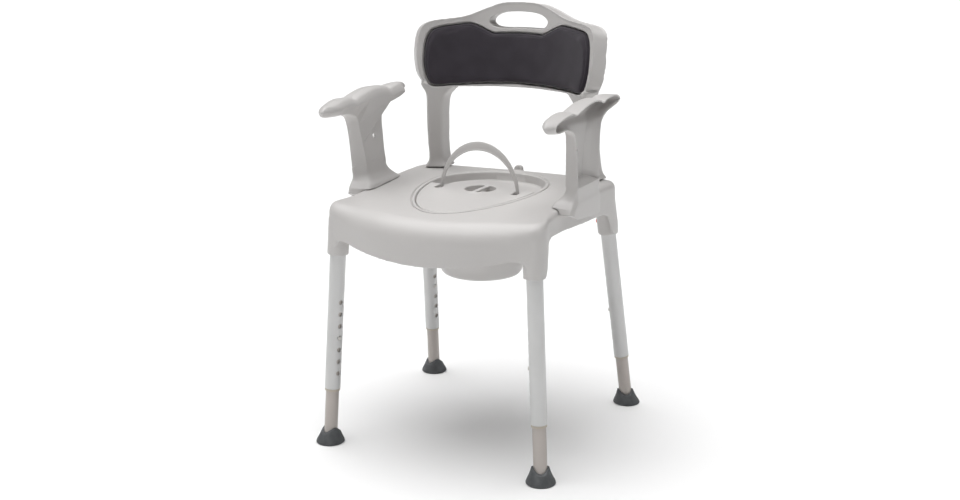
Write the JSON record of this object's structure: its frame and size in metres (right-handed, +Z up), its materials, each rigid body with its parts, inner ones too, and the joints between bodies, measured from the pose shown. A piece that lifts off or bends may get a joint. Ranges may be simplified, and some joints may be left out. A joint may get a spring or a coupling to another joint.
{
  "type": "shower commode chair",
  "caption": "Height-adjustable shower and toilet chair with a lidded lift-out pan, plug-in armrests and a padded plug-in backrest.",
  "frame": {"origin": "on the floor under the middle of the bounding box", "axes": "+Z up, +Y to the back of the chair, +X to its left-hand side as the sitter faces -Y, which is the right of someone who faces the chair"},
  "size_m": [0.543, 0.5638, 0.878],
  "materials": {
    "shell": "fine satin moulding",
    "tube_light": "satin anodised",
    "tube_beige": "satin anodised",
    "bush": "moulded",
    "rubber": "matt",
    "steel": "spring steel",
    "button": "moulded",
    "snap": "moulded",
    "pad": "soft woven cover over foam"
  },
  "bodies": {
    "seat": {"seat_shell": "shell", "outer_tube_fl": "tube_light", "outer_tube_fr": "tube_light", "outer_tube_rl": "tube_light", "outer_tube_rr": "tube_light", "tube_bush_fl": "bush", "tube_bush_fr": "bush", "tube_bush_rl": "bush", "tube_bush_rr": "bush"},
    "leg_fl": {"inner_tube_fl": "tube_beige", "snap_spring_fl": "steel", "rubber_foot_fl": "rubber"},
    "snap_fl": {"snap_button_fl": "snap"},
    "release_fl": {"release_button_fl": "button"},
    "leg_fr": {"inner_tube_fr": "tube_beige", "snap_spring_fr": "steel", "rubber_foot_fr": "rubber"},
    "snap_fr": {"snap_button_fr": "snap"},
    "release_fr": {"release_button_fr": "button"},
    "leg_rl": {"inner_tube_rl": "tube_beige", "snap_spring_rl": "steel", "rubber_foot_rl": "rubber"},
    "snap_rl": {"snap_button_rl": "snap"},
    "release_rl": {"release_button_rl": "button"},
    "leg_rr": {"inner_tube_rr": "tube_beige", "snap_spring_rr": "steel", "rubber_foot_rr": "rubber"},
    "snap_rr": {"snap_button_rr": "snap"},
    "release_rr": {"release_button_rr": "button"},
    "pan": {"pan": "shell"},
    "bail": {"pan_bail": "shell"},
    "lid": {"pan_lid": "shell"},
    "armrest_right": {"armrest_right": "shell"},
    "armrest_left": {"armrest_left": "shell"},
    "backrest": {"backrest_frame": "shell", "backrest_pad": "pad"}
  },
  "joints": [
    {"name": "leg_height_fl", "type": "slide", "parent": "seat", "child": "leg_fl", "axis": [-0.0574, -0.0337, -0.9978], "range_m": [-0.07517, 0.07517]},
    {"name": "snap_press_fl", "type": "slide", "parent": "leg_fl", "child": "snap_fl", "axis": [-0.9378, 0.3446, 0.0423], "range_m": [0, 0.0042], "stiffness_N_per_m": 700},
    {"name": "release_press_fl", "type": "slide", "parent": "seat", "child": "release_fl", "axis": [-0.9984, 0.0019, 0.0573], "range_m": [0, 0.004], "stiffness_N_per_m": 900},
    {"name": "leg_height_fr", "type": "slide", "parent": "seat", "child": "leg_fr", "axis": [0.0574, -0.0337, -0.9978], "range_m": [-0.07517, 0.07517]},
    {"name": "snap_press_fr", "type": "slide", "parent": "leg_fr", "child": "snap_fr", "axis": [0.9378, 0.3446, 0.0423], "range_m": [0, 0.0042], "stiffness_N_per_m": 700},
    {"name": "release_press_fr", "type": "slide", "parent": "seat", "child": "release_fr", "axis": [0.9984, 0.0019, 0.0573], "range_m": [0, 0.004], "stiffness_N_per_m": 900},
    {"name": "leg_height_rl", "type": "slide", "parent": "seat", "child": "leg_rl", "axis": [-0.0641, 0.1853, -0.9806], "range_m": [-0.07649, 0.07649]},
    {"name": "snap_press_rl", "type": "slide", "parent": "leg_rl", "child": "snap_rl", "axis": [-0.9387, 0.3224, 0.1223], "range_m": [0, 0.0042], "stiffness_N_per_m": 700},
    {"name": "release_press_rl", "type": "slide", "parent": "seat", "child": "release_rl", "axis": [-0.9979, -0.0119, 0.063], "range_m": [0, 0.004], "stiffness_N_per_m": 900},
    {"name": "leg_height_rr", "type": "slide", "parent": "seat", "child": "leg_rr", "axis": [0.0641, 0.1853, -0.9806], "range_m": [-0.07649, 0.07649]},
    {"name": "snap_press_rr", "type": "slide", "parent": "leg_rr", "child": "snap_rr", "axis": [0.9387, 0.3224, 0.1223], "range_m": [0, 0.0042], "stiffness_N_per_m": 700},
    {"name": "release_press_rr", "type": "slide", "parent": "seat", "child": "release_rr", "axis": [0.9979, -0.0119, 0.063], "range_m": [0, 0.004], "stiffness_N_per_m": 900},
    {"name": "pan_lift", "type": "slide", "parent": "seat", "child": "pan", "axis": [0, 0, 1], "range_m": [0, 0.183]},
    {"name": "bail_fold", "type": "hinge", "parent": "pan", "child": "bail", "pos_m": [0, -0.003, 0.5025], "axis": [1, 0, 0], "range_deg": [-90, 0]},
    {"name": "lid_off", "type": "slide", "parent": "pan", "child": "lid", "axis": [0, -0.8192, 0.5736], "range_m": [0, 0.2]},
    {"name": "armrest_right_lift", "type": "slide", "parent": "seat", "child": "armrest_right", "axis": [0, 0, 1], "range_m": [0, 0.06]},
    {"name": "armrest_left_lift", "type": "slide", "parent": "seat", "child": "armrest_left", "axis": [0, 0, 1], "range_m": [0, 0.06]},
    {"name": "backrest_lift", "type": "slide", "parent": "seat", "child": "backrest", "axis": [0, 0, 1], "range_m": [0, 0.06]}
  ]
}
